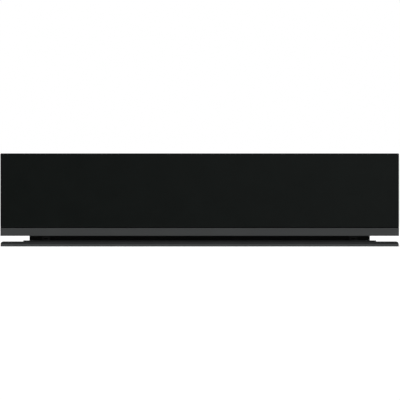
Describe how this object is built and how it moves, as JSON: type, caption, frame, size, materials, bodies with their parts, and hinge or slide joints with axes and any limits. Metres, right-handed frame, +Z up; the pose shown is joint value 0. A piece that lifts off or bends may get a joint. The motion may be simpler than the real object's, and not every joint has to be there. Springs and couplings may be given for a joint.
{
  "type": "built-in warming drawer",
  "caption": "Handleless built-in warming drawer: black glass front over a grey strip, heated glass floor, double-skinned walls, three-member ball runners and a push latch.",
  "frame": {"origin": "on the shelf under the feet, midway between the sides and midway between front and rear", "axes": "+X to the right seen from the front, +Y from the glass front to the rear, +Z up"},
  "size_m": [0.595, 0.548, 0.139],
  "materials": {
    "black_glass": "polished",
    "graphite_metal": "satin",
    "dark_trim": "satin",
    "black_sheet": "matte",
    "zinc_steel": "satin",
    "stainless": "satin",
    "runner_steel": "gloss",
    "ball_steel": "polished",
    "aluminium_sheet": "satin",
    "element_sheath": "satin",
    "fibre_board": "matte",
    "white_plastic": "satin",
    "black_plastic": "matte",
    "amber_lens": "gloss",
    "black_rubber": "matte"
  },
  "bodies": {
    "housing": {"base_trim": "graphite_metal", "base_rail": "dark_trim", "base_pan": "zinc_steel", "top_cover": "zinc_steel", "rear_panel": "zinc_steel", "cable_gland": "black_plastic", "terminal_block": "white_plastic", "terminal_cover": "black_plastic", "latch_body": "black_plastic", "side_panel_left": "zinc_steel", "side_panel_right": "zinc_steel", "runner_outer_left": "runner_steel", "runner_outer_right": "runner_steel", "mount_flange_left": "zinc_steel", "mount_flange_right": "zinc_steel", "bumper_left": "black_rubber", "bumper_right": "black_rubber", "support_pad_left": "black_plastic", "support_pad_right": "black_plastic", "foot_left": "black_rubber", "foot_right": "black_rubber"},
    "drawer": {"front_glass": "black_glass", "seam_gasket": "black_rubber", "front_strip": "graphite_metal", "front_carrier": "black_sheet", "front_seal": "black_rubber", "drawer_bulkhead": "black_sheet", "inner_front": "stainless", "drawer_rear_wall": "stainless", "floor_pan": "zinc_steel", "insulation_board": "fibre_board", "heat_reflector": "aluminium_sheet", "heating_element": "element_sheath", "thermostat": "white_plastic", "thermal_cutout": "white_plastic", "heat_spreader": "aluminium_sheet", "hot_plate": "black_glass", "plate_frame": "zinc_steel", "plate_seal": "black_rubber", "anti_slip_mat": "black_rubber", "control_fascia": "black_plastic", "rotary_switch": "white_plastic", "indicator_lens": "amber_lens", "strike_plate": "zinc_steel", "front_adjuster_left": "black_plastic", "front_adjuster_right": "black_plastic", "drawer_side_left": "stainless", "drawer_side_right": "stainless", "runner_bracket_left": "zinc_steel", "runner_bracket_right": "zinc_steel", "runner_inner_left": "runner_steel", "runner_inner_right": "runner_steel"},
    "knob": {"control_knob": "black_plastic"},
    "plunger": {"latch_plunger": "white_plastic"},
    "middle_left": {"runner_middle_left": "runner_steel"},
    "outer_cage_left": {"ball_cage_outer_left": "ball_steel"},
    "inner_cage_left": {"ball_cage_inner_left": "ball_steel"},
    "middle_right": {"runner_middle_right": "runner_steel"},
    "outer_cage_right": {"ball_cage_outer_right": "ball_steel"},
    "inner_cage_right": {"ball_cage_inner_right": "ball_steel"}
  },
  "joints": [
    {"name": "drawer_slide", "type": "slide", "parent": "housing", "child": "drawer", "axis": [0, -1, 0], "range_m": [-0.003, 0.45]},
    {"name": "knob_turn", "type": "hinge", "parent": "drawer", "child": "knob", "pos_m": [0.186, -0.2327, 0.12], "axis": [0, 0, -1], "range_deg": [0, 200]},
    {"name": "plunger_press", "type": "slide", "parent": "housing", "child": "plunger", "axis": [0, 1, 0], "range_m": [0, 0.004], "stiffness_N_per_m": 400, "springref_m": -0.002},
    {"name": "middle_left_roll", "type": "slide", "parent": "housing", "child": "middle_left", "axis": [0, -1, 0], "range_m": [-0.002, 0.226]},
    {"name": "outer_cage_left_roll", "type": "slide", "parent": "housing", "child": "outer_cage_left", "axis": [0, -1, 0], "range_m": [-0.001, 0.113]},
    {"name": "inner_cage_left_roll", "type": "slide", "parent": "housing", "child": "inner_cage_left", "axis": [0, -1, 0], "range_m": [-0.003, 0.338]},
    {"name": "middle_right_roll", "type": "slide", "parent": "housing", "child": "middle_right", "axis": [0, -1, 0], "range_m": [-0.002, 0.226]},
    {"name": "outer_cage_right_roll", "type": "slide", "parent": "housing", "child": "outer_cage_right", "axis": [0, -1, 0], "range_m": [-0.001, 0.113]},
    {"name": "inner_cage_right_roll", "type": "slide", "parent": "housing", "child": "inner_cage_right", "axis": [0, -1, 0], "range_m": [-0.003, 0.338]}
  ],
  "couplings": [
    {"joint": "middle_left_roll", "follows": "drawer_slide", "ratio": 0.5},
    {"joint": "outer_cage_left_roll", "follows": "drawer_slide", "ratio": 0.25},
    {"joint": "inner_cage_left_roll", "follows": "drawer_slide", "ratio": 0.75},
    {"joint": "middle_right_roll", "follows": "drawer_slide", "ratio": 0.5},
    {"joint": "outer_cage_right_roll", "follows": "drawer_slide", "ratio": 0.25},
    {"joint": "inner_cage_right_roll", "follows": "drawer_slide", "ratio": 0.75}
  ]
}
